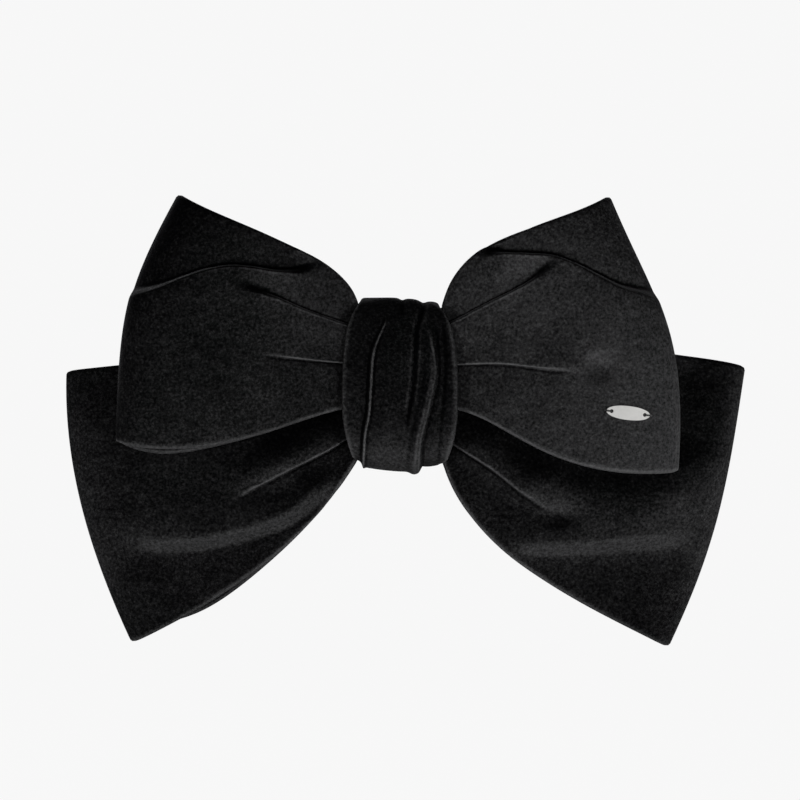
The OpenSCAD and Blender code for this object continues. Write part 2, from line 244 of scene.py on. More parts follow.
def brow(front, back, u, line, low, high, reach_high, start, end, lean):
    """The large fold across an upper loop. At the outer fold it goes on round to the back leaf."""
    shape = dict(reach_low=9, reach_high=reach_high, start=start, end=end, wall=1.8, lean=lean)
    tuck(front, line, low, high, drawn=1 - u**8, **shape)
    tuck(back, line, 0, high, weight=u**5, drawn=0, **shape)


def back_gather(back, line, low, reach, wall):
    """A short crease in a back leaf, beside the knot."""
    tuck(back, line, low, -0.2, *reach, end=0.6, wall=wall)


def upper_left_folds(front, back, u):
    line = [
        (-94, 24.4), (-78, 26.0), (-70, 27.2), (-62, 30.1), (-56, 32.2),
        (-48.9, 33.5), (-41.7, 33.1), (-35.8, 32.3), (-28.7, 32.9), (-22, 36),
    ]
    brow(front, back, u, line, 1.8, -5.0, 22, start=0.0, end=0.22, lean=0.17)
    high_slit = [(-10, 15.0), (-15.7, 16.8), (-27.7, 21.0), (-36, 24.6), (-43.2, 27.0), (-48.5, 29.8)]
    tuck(front, high_slit, 2.2, -2.8, 9, 6, end=0.4, wall=1.3)
    low_slit = [(-10, 6.0), (-17.7, 6.2), (-32.5, 7.5), (-45, 9)]
    tuck(front, low_slit, -0.8, 0.5, 3, 6, end=0.6, wall=0.5)
    back_gather(back, [(-10, 15), (-24, 23), (-38, 33)], -1.3, (7, 5), 0.9)


def upper_right_folds(front, back, u):
    line = [
        (22, 38.0), (32.7, 37.5), (38.2, 37.2), (44.4, 36.4), (51.7, 33.4),
        (57.8, 30.1), (64, 27.2), (73, 25.2), (90, 21.5),
    ]
    brow(front, back, u, line, 1.8, -4.8, 14, start=0.14, end=0.0, lean=0.18)
    high_slit = [(10, 15), (17.7, 18.6), (26.6, 23.3), (36.9, 28.6), (42.8, 33), (46, 36)]
    tuck(front, high_slit, 2.4, -3.4, 9, 6, end=0.3, wall=1.2)
    low_slit = [(10, 5.3), (19.2, 5.7), (31, 5.7), (45.7, 3.9), (56, 4.0)]
    tuck(front, low_slit, -0.9, 0.6, 3, 6, end=0.4, wall=0.5)
    pit(front, 57.5, 4.8, deep=1.3, wide=4.4, tall=3.4)
    back_gather(back, [(10, 16), (22, 24), (34, 35)], -1.3, (7, 5), 0.9)


def lower_left_folds(front, back, u):
    slit = [(-10, -12.5), (-21.1, -19.3), (-36, -26.8), (-51, -35)]
    tuck(front, slit, -1.9, 0.7, 6, 9, end=0.35, wall=0.8)
    beside_slit = [(-12, -9), (-23, -15.8), (-38, -23.3), (-53, -31.5)]
    swell(front, beside_slit, 2.6, 5.5, 4.8, start=0.4, end=0.4)
    low_band = [(-17, -26.5), (-26, -34.5), (-34, -40), (-46, -44), (-62, -47), (-84, -46.5)]
    tuck(front, low_band, -2.2, 2.1, 40, 26, start=0.15, end=0.3, wall=SOFT_WALL)
    back_gather(back, [(-10, -12), (-24, -21), (-44, -33)], -1.4, (6, 6), 0.9)
    back_gather(back, [(-10, -16), (-20, -29), (-32, -42)], -1.0, (5, 5), 0.8)


def lower_right_folds(front, back, u):
    slit = [(8, -13), (16.2, -18), (26.6, -24.5), (35.4, -31.3), (43.5, -37)]
    tuck(front, slit, -2.0, 0.7, 9, 8, end=0.25, wall=0.7)
    beside_slit = [(11, -10), (17.5, -14.5), (28, -21), (37, -27.6), (46, -34)]
    swell(front, beside_slit, 2.1, 6.5, 6.5, start=0.4, end=0.25)
    swell(front, [(28, -25), (50, -31), (75, -33), (96, -30)], 1.7, 7, 10)
    pit(front, 46.5, -38.2, deep=2.0, wide=5.0, tall=3.4)
    low_band = [(29, -48.5), (48.7, -48.2), (67.9, -46.8), (88, -45)]
    tuck(front, low_band, -1.9, 1.7, 40, 18, start=0.25, end=0.3, wall=SOFT_WALL)
    back_gather(back, [(10, -12), (25, -20), (42, -31)], -1.4, (6, 6), 0.9)
    back_gather(back, [(10, -15), (19, -26), (34, -44)], -1.1, (5, 5), 0.8)
    # the dip and the roll beside the upper bow's corner, which stop short of the outer fold
    swell(front, [(74, 6), (88, 5), (104, 3)], -5.0, 10, 14, start=0.4, end=0, weight=1 - u**6)
    swell(front, [(72, -25), (88, -26), (104, -25)], 4.6, 8, 15, start=0.4, end=0, weight=1 - u**6)


def loop_leaves(loop, depth, folds, peek=0.0, peek_from=0.5, peek_to=1.0):
    """The front and the back leaf of a loop. Peek is how far the back one shows under the front one."""
    front, u, v = leaf_of(loop, depth, 0)
    back, _, _ = leaf_of(loop, depth, 1)
    share = np.clip((u - peek_from) / (peek_to - peek_from), 0, 1)
    back[..., 2] -= peek * np.sin(np.pi * share**2.4) * (1 - v)
    folds(front, back, u)
    back[-1] = front[-1] = (front[-1] + back[-1]) / 2
    return front, back


def inside_knot(a, b):
    """Rows of points from row a to row b, both left out."""
    t = np.linspace(0, 1, INSIDE + 2)[1:-1, None, None]
    rows = a[None] * (1 - t) + b[None] * t
    rows[..., 2] *= 1 - 0.05 * np.sin(np.pi * t[..., 0])  # drawn in a little by the binding thread
    return rows


def ring_of(left, right):
    """Rows once round a bow, out along one leaf of each loop and back along the other."""
    (lf, lb), (rf, rb) = left, right
    behind, before = inside_knot(rb[0], lb[0]), inside_knot(lf[0], rf[0])
    return np.concatenate([rf, rb[-2::-1], behind, lb, lf[-2::-1], before])


# ---------------------------------------------------------------- cloth with a thickness


def row_normals(rows):
    along = np.roll(rows, -1, 0) - np.roll(rows, 1, 0)
    across = np.empty_like(rows)
    across[:, 1:-1] = rows[:, 2:] - rows[:, :-2]
    across[:, 0], across[:, -1] = rows[:, 1] - rows[:, 0], rows[:, -1] - rows[:, -2]
    n = np.cross(along, across)
    return n / np.maximum(np.linalg.norm(n, axis=-1, keepdims=True), 1e-9)


def evened(rows, times=90):
    """The rows with their creases smoothed away from hem to hem.

    A fold that is offset along the normals of these keeps its crease sharp."""
    rows = rows.copy()
    for _ in range(times):
        rows[:, 1:-1] = (rows[:, :-2] + 2 * rows[:, 1:-1] + rows[:, 2:]) / 4
    return rows


def hem_distance(rows):
    """How far each place is from the nearer hem, along the cloth."""
    step = np.linalg.norm(np.diff(rows, axis=1), axis=2)
    far = np.concatenate([np.zeros((len(rows), 1)), np.cumsum(step, axis=1)], axis=1)
    return np.minimum(far, far[:, -1:] - far)


def edge_profile(rows, thickness):
    """Half the thickness at each place, rounded over where the ribbon turns at its hems."""
    r = thickness * 0.5
    t = 1 - np.clip(hem_distance(rows) / r, 0, 1)
    return r * np.sqrt(np.clip(1 - t * t, 0, 1))


def new_object(name, points, faces, fold_light=None):
    """A mesh that rides the bow. The values given for each point are its painted highlights and crease shade,
    for its material.
    """
    mesh = bpy.data.meshes.new(name)
    mesh.from_pydata([tuple(p) for p in np.asarray(points) * MM], [], faces)
    bm = bmesh.new()
    bm.from_mesh(mesh)
    if fold_light is not None:
        layer = bm.verts.layers.float.new("fold_light")
        for v, value in zip(bm.verts, fold_light):
            v[layer] = value
    bmesh.ops.remove_doubles(bm, verts=bm.verts, dist=1e-6)
    bmesh.ops.recalc_face_normals(bm, faces=bm.faces)
    bm.to_mesh(mesh)
    bm.free()
    for p in mesh.polygons:
        p.use_smooth = True
    obj = bpy.data.objects.new(name, mesh)
    bpy.context.scene.collection.objects.link(obj)
    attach(obj, "bow")
    return obj


HEM_HIGHLIGHT_WIDTH = 1.0  # how wide the painted highlight along a hem is
RIDGE_FROM, RIDGE_SPAN = 0.2, 0.9  # the bends, in 1/mm, between which the painted highlight of a ridge comes in
CREASE_FROM, CREASE_SPAN = 0.08, 0.5  # the same for the painted shade of a crease


def fold_light_of(points, normal, rim_highlight):
    """How much painted light each place of a grid gets from its folds.

    1 is a painted highlight where the cloth bends away from its outer side or ends in a hem, and -1 is
    painted shade at the bottom of a crease."""
    step = 2
    last = points.shape[1] - 1
    j = np.arange(last + 1)
    a, b = points[:, np.minimum(j + step, last)], points[:, np.maximum(j - step, 0)]
    width = np.linalg.norm(a - b, axis=-1) / 2
    bend = -((a + b - 2 * points) * normal).sum(-1) / np.maximum(width, 0.2) ** 2
    fold_light = np.maximum(smooth((bend - RIDGE_FROM) / RIDGE_SPAN), rim_highlight)
    return fold_light - smooth((-bend - CREASE_FROM) / CREASE_SPAN)


def slab(name, rows, thickness):
    """A flat piece of felt: a grid of rows with a thickness, rounded over at every edge."""
    n, m = rows.shape[:2]
    along = np.swapaxes(rows, 0, 1)
    half = np.minimum(edge_profile(rows, thickness), edge_profile(along, thickness).T)[..., None]
    normal = np.cross(np.gradient(rows, axis=0), np.gradient(rows, axis=1))
    normal /= np.maximum(np.linalg.norm(normal, axis=-1, keepdims=True), 1e-9)
    points = np.concatenate([(rows + normal * half).reshape(-1, 3), (rows - normal * half).reshape(-1, 3)])
    i, j = np.meshgrid(np.arange(n - 1), np.arange(m - 1), indexing="ij")
    quad = np.stack([i * m + j, i * m + j + 1, (i + 1) * m + j + 1, (i + 1) * m + j], axis=-1).reshape(-1, 4)
    return new_object(name, points, quad.tolist() + (quad[:, ::-1] + n * m).tolist())


def band(name, rows, thickness):
    """A closed band of cloth round a ring of rows."""
    n, m = rows.shape[:2]
    half = edge_profile(rows, thickness)[..., None]
    normal = row_normals(evened(rows))
    points = np.concatenate([(rows + normal * half).reshape(-1, 3), (rows - normal * half).reshape(-1, 3)])
    i, j = np.meshgrid(np.arange(n), np.arange(m - 1), indexing="ij")
    i2 = (i + 1) % n
    quad = np.stack([i * m + j, i * m + j + 1, i2 * m + j + 1, i2 * m + j], axis=-1).reshape(-1, 4)
    other = quad[:, ::-1] + n * m
    # At the hems the half thickness is 0, so the two sides share their edge points.
    # painted highlights along the hems and on the edges of folds, and painted shade in the creases
    rim_highlight = 1 - smooth(hem_distance(rows) / HEM_HIGHLIGHT_WIDTH)
    fold_light = [fold_light_of(rows + side * normal * half, side * normal, rim_highlight).ravel() for side in (1, -1)]
    return new_object(name, points, quad.tolist() + other.tolist(), fold_light=np.concatenate(fold_light))


def narrowed(rows, inset):
    """The same ring of cloth, this share narrower at each hem."""
    v = across_rows()
    w = np.linspace(inset, 1 - inset, 40)
    return np.stack([np.stack([np.interp(w, v, row[:, k]) for k in range(3)], axis=1) for row in rows])


# ---------------------------------------------------------------- letting the cloth settle

SETTLE_FRAMES = 24
SETTLE_SCALE = 0.01  # the solver works on a copy ten times the real size, where its steps are steady
SETTLE_STEP = 3
EXTRA = 0.012  # how much larger than its folded shape the cloth wants to be, so that it buckles a little
MOST_MOVE = 2.2  # the movement is capped smoothly at this
SOFTENINGS = 3  # times the movement is evened out, so that no crease is as small as the coarse grid
LOOSEST = 0.75  # how much of the hold the freest cloth is let off
BACK_LOOSE = 0.12  # the back leaves against the front ones
HEM_HOLD = 9.0  # the hems are held more firmly than cloth this far from them
PLATE_HOLD = 8.0  # the cloth is held for this far round the oval plate
PLATE_Y = -20  # only the front of the upper bow, which carries it, is nearer than this


def hold_of(rows):
    """How firmly each place is held.

    Fully in the knot, at the outer folds and under the oval plate, and least in the front leaves."""
    k = np.arange(ALONG + 1)
    u = np.sin(np.pi / 2 * k / ALONG)
    none = np.zeros(INSIDE)
    out = np.concatenate([u, u[-2::-1], none, u, u[-2::-1], none])
    front = np.concatenate([u * 0 + 1, u[:-1] * 0, none, u * 0, u[:-1] * 0 + 1, none])
    free = smooth((out - 0.1) / 0.25) * smooth((1 - out) / 0.04) * (BACK_LOOSE + (1 - BACK_LOOSE) * front)
    loose = free[:, None] * (0.25 + 0.75 * smooth(hem_distance(rows) / HEM_HOLD))
    plate = np.hypot(rows[..., 0] - PLATE_SPOT[0], rows[..., 2] - PLATE_SPOT[1])
    round_plate = smooth((plate - PLATE_HOLD) / PLATE_HOLD)
    loose = loose * np.where(rows[..., 1] < PLATE_Y, round_plate, 1)
    return 1 - LOOSEST * loose


def cloth_copy(name, start, hold):
    """A coarse closed band of cloth with Blender's Cloth on it."""
    a, b = start.shape[:2]
    faces = [
        (r * b + c, r * b + c + 1, (r + 1) % a * b + c + 1, (r + 1) % a * b + c)
        for r in range(a)
        for c in range(b - 1)
    ]
    mesh = bpy.data.meshes.new(name)
    mesh.from_pydata([tuple(p) for p in start.reshape(-1, 3) * SETTLE_SCALE], [], faces)
    obj = bpy.data.objects.new(name, mesh)
    bpy.context.scene.collection.objects.link(obj)
    group = obj.vertex_groups.new(name="hold")
    for v, weight in enumerate(hold.ravel()):
        group.add([v], float(weight), "REPLACE")
    cloth = obj.modifiers.new("settle", "CLOTH")
    cloth.point_cache.frame_start = 1
    cloth.point_cache.frame_end = SETTLE_FRAMES
    c = cloth.settings
    c.vertex_group_mass = "hold"
    c.quality = 6
    c.mass = 0.25
    c.tension_stiffness = c.compression_stiffness = 25
    c.shear_stiffness = 10
    c.bending_stiffness = 12
    c.air_damping = 4
    c.pin_stiffness = 0.6
    c.shrink_min = -EXTRA
    c.effector_weights.gravity = 0.3
    return obj


def settled_points(obj):
    """Where the cloth's points are after the last frame. The copy is removed."""
    scene = bpy.context.scene
    for number in range(1, SETTLE_FRAMES + 1):
        scene.frame_set(number)
    settled = bpy.data.meshes.new_from_object(obj.evaluated_get(bpy.context.evaluated_depsgraph_get()))
    points = np.empty(len(settled.vertices) * 3)
    settled.vertices.foreach_get("co", points)
    scene.frame_set(1)
    bpy.data.objects.remove(obj)
    return points.reshape(-1, 3) / SETTLE_SCALE


def softened(move):
    """The movement evened out round the ring and across it, and capped."""
    for _ in range(SOFTENINGS):
        along = (np.roll(move, 1, 0) + 2 * move + np.roll(move, -1, 0)) / 4
        wide = np.concatenate([along[:, :1], along, along[:, -1:]], axis=1)
        move = (wide[:, :-2] + 2 * along + wide[:, 2:]) / 4
    size = np.linalg.norm(move, axis=-1, keepdims=True)
    return move * MOST_MOVE * np.tanh(size / MOST_MOVE) / np.maximum(size, 1e-6)


def spread(known, at, count):
    """Rows 0 to count - 1, interpolated between the rows known at a few of those places."""
    columns = [np.interp(np.arange(count), at, column) for column in known.reshape(len(known), -1).T]
    return np.stack(columns, axis=1).reshape((count,) + known.shape[1:])


def settle(name, rows):
    """Simulates the ribbon as cloth on a coarse copy of its ring, and moves the fine one as that moved."""
    n, m = rows.shape[:2]
    # the copy has every third row, and the hems and every third place between them
    i = np.arange(0, n, SETTLE_STEP)
    j = np.unique(np.concatenate([np.arange(3, m - 3, SETTLE_STEP), [0, m - 1]]))
    start = rows[i][:, j]
    end = settled_points(cloth_copy(name, start, hold_of(rows)[i][:, j])).reshape(start.shape)
    across = spread(softened(end - start).swapaxes(0, 1), j, m).swapaxes(0, 1)
    return rows + spread(np.concatenate([across, across[:1]]), np.append(i, n), n)


# ---------------------------------------------------------------- the knot

KNOT_Y = -14.4
KNOT_DEPTH = 24.4
KNOT_H = 51.2
KNOT_T = 2.2
KNOT_BACK_HALF = 11.5  # half the width of the band behind the bow
SQUARENESS = 2.7  # 2 is an ellipse, and more is squarer

# Half the width of the knot's front at each height, and then where its folds run, as (X, Z).
BARREL = [
    (-26, 13.6), (-22, 14.9), (-17, 16.0), (-10, 16.8), (0, 16.9), (10, 16.4), (19, 14.9), (26, 11.3),
]
LEFT_FOLD = [
    (-3.2, 25), (-4.4, 18), (-5.6, 14.6), (-7.0, 11), (-8, 7),
    (-8.5, -0.9), (-9.1, -8.9), (-10.2, -14.5), (-10.6, -24),
]
RIGHT_FOLD = [(9.5, 25), (9.6, 14), (9.8, 3), (8.3, -5), (6.8, -11), (5.6, -16), (5.0, -22)]
VALLEY = [(6.8, 25), (6.6, 22), (4.9, 14.5), (4.4, 6), (3.8, -1), (2.4, -10.6), (2.2, -20)]
SIDE_DIP = [(12.2, 25), (13.2, 5), (11, -25)]


def squared(c):
    return np.sign(c) * np.abs(c) ** (2 / SQUARENESS)


def knot_section(n):
    """Even steps round the knot's section, in the YZ plane, from the middle of its front."""
    a = np.linspace(0, 2 * math.pi, n, endpoint=False)
    y = KNOT_Y + (KNOT_DEPTH - KNOT_T) / 2 * squared(-np.cos(a))
    z = (KNOT_H - KNOT_T) / 2 * squared(np.sin(a))
    loop = np.stack([np.append(y, y[0]), np.append(z, z[0])], axis=1)
    far = lengths_along(loop)
    at = np.linspace(0, far[-1], n, endpoint=False)
    return np.interp(at, far, loop[:, 0]), np.interp(at, far, loop[:, 1])


def knot_rows(n=240):
    """The knot before its folds: a band round the bow, wider in front, and which of its rows are in front."""
    y, z = knot_section(n)
    front = smooth((KNOT_Y - y) / 8 + 0.5)
    barrel = curve_through(BARREL)
    half = KNOT_BACK_HALF + (np.interp(z, barrel[:, 0], barrel[:, 1]) - KNOT_BACK_HALF) * front
    hem = np.array([0.0, 0.012, 0.03, 0.055])
    v = np.concatenate([hem, np.linspace(0.075, 0.925, 130), 1 - hem[::-1]])
    w = 2 * v - 1
    x = half[:, None] * w[None]
    # shorter at its hems in front and at its bottom, and slanting down to the right
    tall = (1 - 0.05 * w**2 * front[:, None]) * (1 - 0.045 * smooth(-z / 24))[:, None]
    tall = tall * (1 - 0.028 * w * np.sign(z)[:, None] * smooth(np.abs(z) / 20)[:, None])
    out = np.stack([x, np.broadcast_to(y[:, None], x.shape), z[:, None] * tall], axis=-1)
    return out, smooth((KNOT_Y + 4 - y) / 8 + 0.5)


def fold_at(z, points):
    """Where a fold that runs down the knot stands at each height."""
    c = curve_through(points)[::-1]
    return np.interp(z, c[:, 1], c[:, 0])


def ridge_at(x, middle, width):
    """A rounded rib or groove of height 1, width to each side of its middle."""
    return np.exp(-(((x - middle) / width) ** 2))


def knot_folds(rows, front):
    """The knot is one ribbon folded three times: a raised middle strip between two lower ones."""
    n = row_normals(rows)
    if n[0, n.shape[1] // 2, 1] > 0:
        n = -n
    x, z = rows[..., 0], rows[..., 2]
    left, right, valley = fold_at(z, LEFT_FOLD), fold_at(z, RIGHT_FOLD), fold_at(z, VALLEY)
    left_strength = smooth((17 - z) / 9)
    right_strength = smooth((20 - z) / 16)
    valley_strength = smooth((z + 14) / 10)
    right_step = 1.4 + 2 * (1 - right_strength)
    strip = smooth((x - left + 0.5) / 1.1) * smooth((right + 1.2 - x) / right_step)
    rise = 1.5 * smooth((21 - z) / 12) * strip
    crown = np.clip(1 - (x / 17.2) ** 2, 0, 1)
    lip = 0.5 * left_strength * ridge_at(x, left + 0.4, 0.5)
    lip = lip + 0.8 * right_strength * ridge_at(x, right - 0.9, 1.2)
    notch = 1.1 + 0.3 * smooth((z - 16) / 8)
    dip = 0.9 * valley_strength * ridge_at(x, valley, notch)
    dip = dip + 0.5 * ridge_at(x, fold_at(z, SIDE_DIP), 1.6)
    dip = dip + 0.6 * smooth((z - 17) / 6) * ridge_at(x, 0.6, 1.2)
    sunk = 1.25  # so that the highest fold is still inside the knot's size
    out = (rise + crown + lip - dip - sunk) * front[:, None]
    return rows + n * out[..., None]


# ---------------------------------------------------------------- the felt pad

PAD_T = 1.2
PAD_HALF_L = 43.0
PAD_HALF_W = 8.0
PAD_CORNER = 7.9
PAD_R = 131.6  # the pad follows the barrette's spine, which is bent round a centre in front of the bow
SPINE_CENTRE = 130.0


def pad_rows():
    x = PAD_HALF_L * np.sin(np.linspace(-np.pi / 2, np.pi / 2, 150))
    over = np.clip(np.abs(x) - (PAD_HALF_L - PAD_CORNER), 0, PAD_CORNER)
    half = PAD_HALF_W - PAD_CORNER + np.sqrt(PAD_CORNER**2 - over**2)
    w = np.sin(np.linspace(-np.pi / 2, np.pi / 2, 36))
    fray = 1 + 0.006 * np.sin(1.9 * x) * np.sin(0.7 * x + 1)
    z = (half * fray)[:, None] * w[None]
    y = SPINE_CENTRE - np.sqrt(PAD_R**2 - x**2)
    return np.stack([np.broadcast_to(x[:, None], z.shape), np.broadcast_to(y[:, None], z.shape), z], axis=-1)


# ---------------------------------------------------------------- materials


class Shader:
    """A material's node tree with one Principled shader, built with short calls."""

    def __init__(self, name, color, **constants):
        self.material = bpy.data.materials.new(name)
        self.material.use_nodes = True
        self.tree = self.material.node_tree
        self.bsdf = self.tree.nodes["Principled BSDF"]
        self.bsdf.inputs["Base Color"].default_value = (*color, 1)
        for key, value in constants.items():
            self.bsdf.inputs[key.replace("_", " ")].default_value = value
        self.place = self.node("ShaderNodeTexCoord").outputs["Object"]

    def node(self, kind, **values):
        made = self.tree.nodes.new(kind)
        for key, value in values.items():
            if key in made.inputs:
                self.put(made.inputs[key], value)
            else:
                setattr(made, key, value)
        return made

    def put(self, socket, value):
        if isinstance(value, bpy.types.NodeSocket):
            self.tree.links.new(value, socket)
        else:
            socket.default_value = value

    def noise(self, scale, detail=2.0, rough=0.5, stretch=None):
        place = self.place
        if stretch:
            place = self.node("ShaderNodeMapping", Vector=place, Scale=stretch).outputs[0]
        made = self.node("ShaderNodeTexNoise", Vector=place, Scale=scale, Detail=detail)
        made.inputs["Roughness"].default_value = rough
        return made.outputs["Fac"]

    def ramp(self, fac, stops):
        made = self.node("ShaderNodeValToRGB", Fac=fac)
        while len(made.color_ramp.elements) < len(stops):
            made.color_ramp.elements.new(0.5)
        for e, (at, value) in zip(made.color_ramp.elements, stops):
            e.position = at
            e.color = (*value, 1) if hasattr(value, "__len__") else (value, value, value, 1)
        return made.outputs["Color"]

    def math(self, op, a, b):
        made = self.node("ShaderNodeMath", operation=op)
        self.put(made.inputs[0], a)
        self.put(made.inputs[1], b)
        return made.outputs[0]

    def bump(self, height, strength, distance, base=None):
        made = self.node("ShaderNodeBump", Strength=strength, Distance=distance, Height=height)
        if base is not None:
            self.put(made.inputs["Normal"], base)
        return made.outputs["Normal"]

    def set(self, key, value):
        self.put(self.bsdf.inputs[key], value)


PAINTED_LIGHT_WAY = (0.1, 0.0, -0.9)  # the way the painted light comes from: painted light where the cloth faces down, painted shade where it faces up
FOLD_HIGHLIGHT = 0.5  # how pale the painted highlights on the edges of the folds are
CREASE_SHADE = 0.35  # how dark the painted shade at the bottoms of the creases is
LOW_SHADE_FROM = 0.05  # painted shade makes the cloth darker from this far under the middle, in metres
LOW_SHADE_GAIN = 13.0  # by this much for each metre
# the velvet's colour for each amount of painted light and shade, with its mottle
VELVET_LIGHT_STOPS = [
    (0.0, (0.0006, 0.0006, 0.0007)),
    (0.18, (0.0022, 0.0022, 0.0023)),
    (0.33, (0.006, 0.006, 0.0062)),
    (0.5, (0.015, 0.015, 0.0153)),
    (0.75, (0.034, 0.034, 0.035)),
    (1.0, (0.06, 0.06, 0.061)),
]


def velvet_material(name, side_light_gain, shade=0.0, rim_highlight_gain=FOLD_HIGHLIGHT, least=-1.0):
    """Black velvet: a very dark ground, mottled with fibres, with painted light where it faces down and
    painted shade where it faces up.

    Painted side light also makes it paler towards +X by side_light_gain for each metre, and painted shade
    makes it darker towards the bottom. Shade is painted shade or light over the whole piece,
    rim_highlight_gain is how pale the painted highlights on its folds' edges are, and least keeps the painted
    shade on what faces up from going quite black."""
    m = Shader(
        name, (0.004, 0.004, 0.004),
        Roughness=0.9, Specular_IOR_Level=0.0, Sheen_Weight=0.05, Sheen_Roughness=0.3,
        Sheen_Tint=(0.6, 0.6, 0.62, 1),
    )
    nap = m.noise(1150, 2, 0.8)
    brushed = m.noise(160, 3, 0.6)
    fibre = m.noise(4200, 2, 0.6)
    waves = m.bump(brushed, 0.5, 0.0012)
    rough = m.bump(fibre, 0.4, 0.0001, m.bump(nap, 0.5, 0.0002, waves))
    # painted light and shade: paler where the cloth faces down, darker where it faces up
    painted_facing = m.node("ShaderNodeVectorMath", operation="DOT_PRODUCT")
    m.put(painted_facing.inputs[0], waves)
    m.put(painted_facing.inputs[1], PAINTED_LIGHT_WAY)
    speckle = m.math("MULTIPLY", m.math("SUBTRACT", nap, 0.14), 1.5)
    patches = m.math("MULTIPLY", m.math("SUBTRACT", m.noise(55, 4, 0.65), 0.5), 0.4)
    split = m.node("ShaderNodeSeparateXYZ", Vector=m.place)
    # painted side light: paler towards +X
    painted_side_light = m.math("MULTIPLY", m.math("ADD", split.outputs["X"], 0.02), side_light_gain)
    # painted shade: darker towards the bottom
    under = m.math("MINIMUM", m.math("ADD", split.outputs["Z"], LOW_SHADE_FROM), 0.0)
    below = m.math("MULTIPLY", under, LOW_SHADE_GAIN)
    # painted highlights on fold edges and hems, painted shade in the creases
    fold_light = m.node("ShaderNodeAttribute", attribute_name="fold_light").outputs["Fac"]
    rim_highlight = m.math("MULTIPLY", m.math("MAXIMUM", fold_light, 0.0), rim_highlight_gain)
    crease_shade = m.math("MULTIPLY", m.math("MINIMUM", fold_light, 0.0), CREASE_SHADE)
    facing_light_kept = m.math("MAXIMUM", m.math("MINIMUM", painted_facing.outputs["Value"], 0.5), least)
    mottle_and_light = m.math("ADD", facing_light_kept, shade)
    for share in (speckle, patches, painted_side_light, below, rim_highlight, crease_shade):
        mottle_and_light = m.math("ADD", mottle_and_light, share)
    # the painted light and shade, with the fibre mottle, become the base colour
    m.set("Base Color", m.ramp(m.math("MULTIPLY", mottle_and_light, 0.6), VELVET_LIGHT_STOPS))
    m.set("Normal", rough)
    return m.material


def thread_material():
    m = Shader("waxed_thread", (0.012, 0.012, 0.012), Roughness=0.45, Specular_IOR_Level=0.4)
    twist = m.node("ShaderNodeTexWave", Vector=m.place, Scale=900.0, Distortion=1.5)
    twist.bands_direction = "DIAGONAL"
    m.set("Base Color", m.ramp(twist.outputs["Fac"], [(0.2, 0.006), (0.9, 0.03)]))
    m.set("Normal", m.bump(twist.outputs["Fac"], 0.6, 0.0001))
    return m.material


def interlining_material():
    m = Shader("interlining", (0.8, 0.8, 0.78), Roughness=0.9, Specular_IOR_Level=0.1)
    web = m.noise(2500, 4, 0.7)
    m.set("Base Color", m.ramp(web, [(0.3, (0.62, 0.62, 0.6)), (0.7, (0.86, 0.86, 0.84))]))
    m.set("Normal", m.bump(web, 0.6, 0.0001))
    return m.material


def felt_material():
    m = Shader(
        "black_felt", (0.03, 0.03, 0.032), Roughness=0.95, Specular_IOR_Level=0.1,
        Sheen_Weight=0.25, Sheen_Roughness=0.7, Sheen_Tint=(0.5, 0.5, 0.52, 1),
    )
    mat = m.noise(2600, 5, 0.75)
    clumps = m.noise(420, 3, 0.6)
    stops = [(0.12, (0.008, 0.008, 0.009)), (0.42, (0.032, 0.032, 0.034))]
    m.set("Base Color", m.ramp(m.math("MULTIPLY", mat, clumps), stops))
    m.set("Normal", m.bump(mat, 0.9, 0.0002, m.bump(clumps, 0.4, 0.0003)))
    return m.material


def metal_material(name, color, roughness, grain, stretch, wear=0.06):
    """Plated metal: fine drawn lines along one way, small handling marks and uneven dulling."""
    m = Shader(name, color, Metallic=1.0, Roughness=roughness)
    lines = m.noise(grain, 3, 0.6, stretch)
    marks = m.noise(900, 6, 0.75)
    cloud = m.noise(160, 2, 0.5)
    dull = m.math("ADD", m.math("MULTIPLY", lines, wear * 2), m.math("MULTIPLY", cloud, wear * 2.5))
    m.set("Roughness", m.math("ADD", dull, roughness - 2 * wear))
    low, high = tuple(c * 0.86 for c in color), tuple(min(1, c * 1.06) for c in color)
    worn = m.math("ADD", m.math("MULTIPLY", cloud, 0.6), m.math("MULTIPLY", marks, 0.4))
    m.set("Base Color", m.ramp(worn, [(0.35, low), (0.62, high)]))
    m.set("Normal", m.bump(lines, 0.12, 0.00004, m.bump(marks, 0.08, 0.00005)))
    return m.material


# three copies of one black velvet, each with its own painted light and shade: side light, shade over the
# whole piece, rim highlights and a floor on the shade
velvet = {
    "upper_bow": velvet_material("black_velvet_upper", side_light_gain=2.8, shade=0.0),
    "lower_bow": velvet_material("black_velvet_lower", side_light_gain=0.2, shade=-0.04),
    "knot_band": velvet_material("black_velvet_knot", side_light_gain=0.0, shade=-0.18, rim_highlight_gain=0.85, least=-0.1),
}
thread = thread_material()
interlining = interlining_material()
felt = felt_material()
plate_metal = metal_material("satin_plate", (0.62, 0.615, 0.6), 0.4, 60, (1, 40, 40), 0.05)
nickel = metal_material("nickel_plate", (0.66, 0.655, 0.645), 0.26, 80, (1, 30, 30))
spring = metal_material("spring_steel", (0.56, 0.565, 0.58), 0.3, 120, (1, 30, 30))


def paint(obj, material):
    """Gives a piece its material, in place of any it had."""
    obj.data.materials.clear()
    obj.data.materials.append(material)


# ---------------------------------------------------------------- making the pieces

upper_rows = ring_of(
    loop_leaves(UPPER_LEFT, UPPER_DEPTH, upper_left_folds, 1.6),
    loop_leaves(UPPER_RIGHT, UPPER_DEPTH, upper_right_folds),
)
lower_rows = ring_of(
    loop_leaves(LOWER_LEFT, LOWER_DEPTH, lower_left_folds, 1.6, 0.2, 0.85),
    loop_leaves(LOWER_RIGHT, LOWER_DEPTH, lower_right_folds),
)

